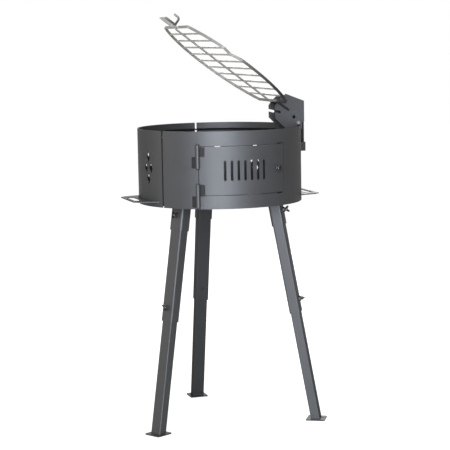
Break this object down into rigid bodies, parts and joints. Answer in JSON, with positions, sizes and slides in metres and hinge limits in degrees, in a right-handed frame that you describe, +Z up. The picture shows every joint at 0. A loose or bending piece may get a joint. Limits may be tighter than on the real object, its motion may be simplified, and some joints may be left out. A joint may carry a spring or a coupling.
{
  "type": "round charcoal grill and fire pit on three telescoping legs",
  "caption": "Round steel fire drum with a hinged door, side vents and hand plates on telescoping legs, with a cooking grate held raised in a hook-on bracket.",
  "frame": {"origin": "on the ground under the middle of the drum, which is the middle of the circle of foot holes", "axes": "+Z up along the drum's axis, -Y towards the door, +X towards the grate's bracket"},
  "size_m": [0.614, 0.594, 1.2996],
  "materials": {
    "coat": "satin graphite powder coat",
    "coat_inside": "satin graphite powder coat, in shade",
    "steel": "brushed stainless steel",
    "zinc": "bright zinc plate"
  },
  "bodies": {
    "drum": {"front_panel": "coat", "left_panel": "coat", "right_panel": "coat", "seam_strap_left": "coat_inside", "seam_strap_right": "coat_inside", "seam_strap_back": "coat_inside", "base_plate": "coat_inside", "ledge_ring": "coat_inside", "door_stop": "coat_inside", "left_handle": "coat", "right_handle": "coat", "bracket_receiver": "coat", "hinge_fixed_upper": "coat", "hinge_fixed_lower": "coat", "hinge_pins": "zinc", "socket_left": "coat", "socket_right": "coat", "socket_back": "coat", "socket_nuts": "coat"},
    "door": {"door_panel": "coat", "hinge_door_upper": "coat", "hinge_door_lower": "coat", "door_knob": "coat", "knob_screw": "zinc"},
    "bracket": {"cheek_front": "coat", "cheek_back": "coat", "bracket_back": "coat", "bracket_bolt": "zinc", "bracket_nut": "zinc"},
    "grate": {"grate_frame": "steel", "grate_rods": "steel", "grate_spine": "steel", "grate_tongue": "coat_inside", "lifting_plate": "steel", "lifting_hook": "coat"},
    "upper_leg_left": {"upper_tube_left": "coat", "tube_nut_left": "coat"},
    "lower_leg_left": {"lower_tube_left": "coat", "foot_left": "coat_inside"},
    "socket_screw_left": {"socket_screw_left": "zinc"},
    "leg_screw_left": {"leg_screw_left": "zinc"},
    "upper_leg_right": {"upper_tube_right": "coat", "tube_nut_right": "coat"},
    "lower_leg_right": {"lower_tube_right": "coat", "foot_right": "coat_inside"},
    "socket_screw_right": {"socket_screw_right": "zinc"},
    "leg_screw_right": {"leg_screw_right": "zinc"},
    "upper_leg_back": {"upper_tube_back": "coat", "tube_nut_back": "coat"},
    "lower_leg_back": {"lower_tube_back": "coat", "foot_back": "coat_inside"},
    "socket_screw_back": {"socket_screw_back": "zinc"},
    "leg_screw_back": {"leg_screw_back": "zinc"}
  },
  "joints": [
    {"name": "door_hinge", "type": "hinge", "parent": "drum", "child": "door", "pos_m": [-0.14149, -0.22643, 0.82], "axis": [0, 0, -1], "range_deg": [0, 160]},
    {"name": "bracket_lift", "type": "slide", "parent": "drum", "child": "bracket", "axis": [0, 0, 1], "range_m": [0, 0.1]},
    {"name": "grate_slide", "type": "slide", "parent": "bracket", "child": "grate", "axis": [-0.7986, 0, 0.6018], "range_m": [0, 0.09]},
    {"name": "leg_pull_out_left", "type": "slide", "parent": "drum", "child": "upper_leg_left", "axis": [-0.1534, -0.0885, -0.9842], "range_m": [0, 0.1]},
    {"name": "leg_pull_out_right", "type": "slide", "parent": "drum", "child": "upper_leg_right", "axis": [0.1534, -0.0885, -0.9842], "range_m": [0, 0.1]},
    {"name": "leg_pull_out_back", "type": "slide", "parent": "drum", "child": "upper_leg_back", "axis": [0, 0.1771, -0.9842], "range_m": [0, 0.1]},
    {"name": "leg_length_left", "type": "slide", "parent": "upper_leg_left", "child": "lower_leg_left", "axis": [0.1534, 0.0885, 0.9842], "range_m": [0, 0.24]},
    {"name": "leg_length_right", "type": "slide", "parent": "upper_leg_right", "child": "lower_leg_right", "axis": [-0.1534, 0.0885, 0.9842], "range_m": [0, 0.24]},
    {"name": "leg_length_back", "type": "slide", "parent": "upper_leg_back", "child": "lower_leg_back", "axis": [0, -0.1771, 0.9842], "range_m": [0, 0.24]},
    {"name": "socket_screw_turn_left", "type": "hinge", "parent": "drum", "child": "socket_screw_left", "pos_m": [-0.15848, -0.0915, 0.67276], "axis": [-0.8523, -0.4921, 0.1771], "range_deg": [0, 360]},
    {"name": "socket_screw_turn_right", "type": "hinge", "parent": "drum", "child": "socket_screw_right", "pos_m": [0.15848, -0.0915, 0.67276], "axis": [0.8523, -0.4921, 0.1771], "range_deg": [0, 360]},
    {"name": "socket_screw_turn_back", "type": "hinge", "parent": "drum", "child": "socket_screw_back", "pos_m": [0, 0.183, 0.67276], "axis": [0, 0.9842, 0.1771], "range_deg": [0, 360]},
    {"name": "leg_screw_turn_left", "type": "hinge", "parent": "upper_leg_left", "child": "leg_screw_left", "pos_m": [-0.2028, -0.11709, 0.38833], "axis": [-0.8523, -0.4921, 0.1771], "range_deg": [0, 360]},
    {"name": "leg_screw_turn_right", "type": "hinge", "parent": "upper_leg_right", "child": "leg_screw_right", "pos_m": [0.2028, -0.11709, 0.38833], "axis": [0.8523, -0.4921, 0.1771], "range_deg": [0, 360]},
    {"name": "leg_screw_turn_back", "type": "hinge", "parent": "upper_leg_back", "child": "leg_screw_back", "pos_m": [0, 0.23418, 0.38833], "axis": [0, 0.9842, 0.1771], "range_deg": [0, 360]}
  ]
}
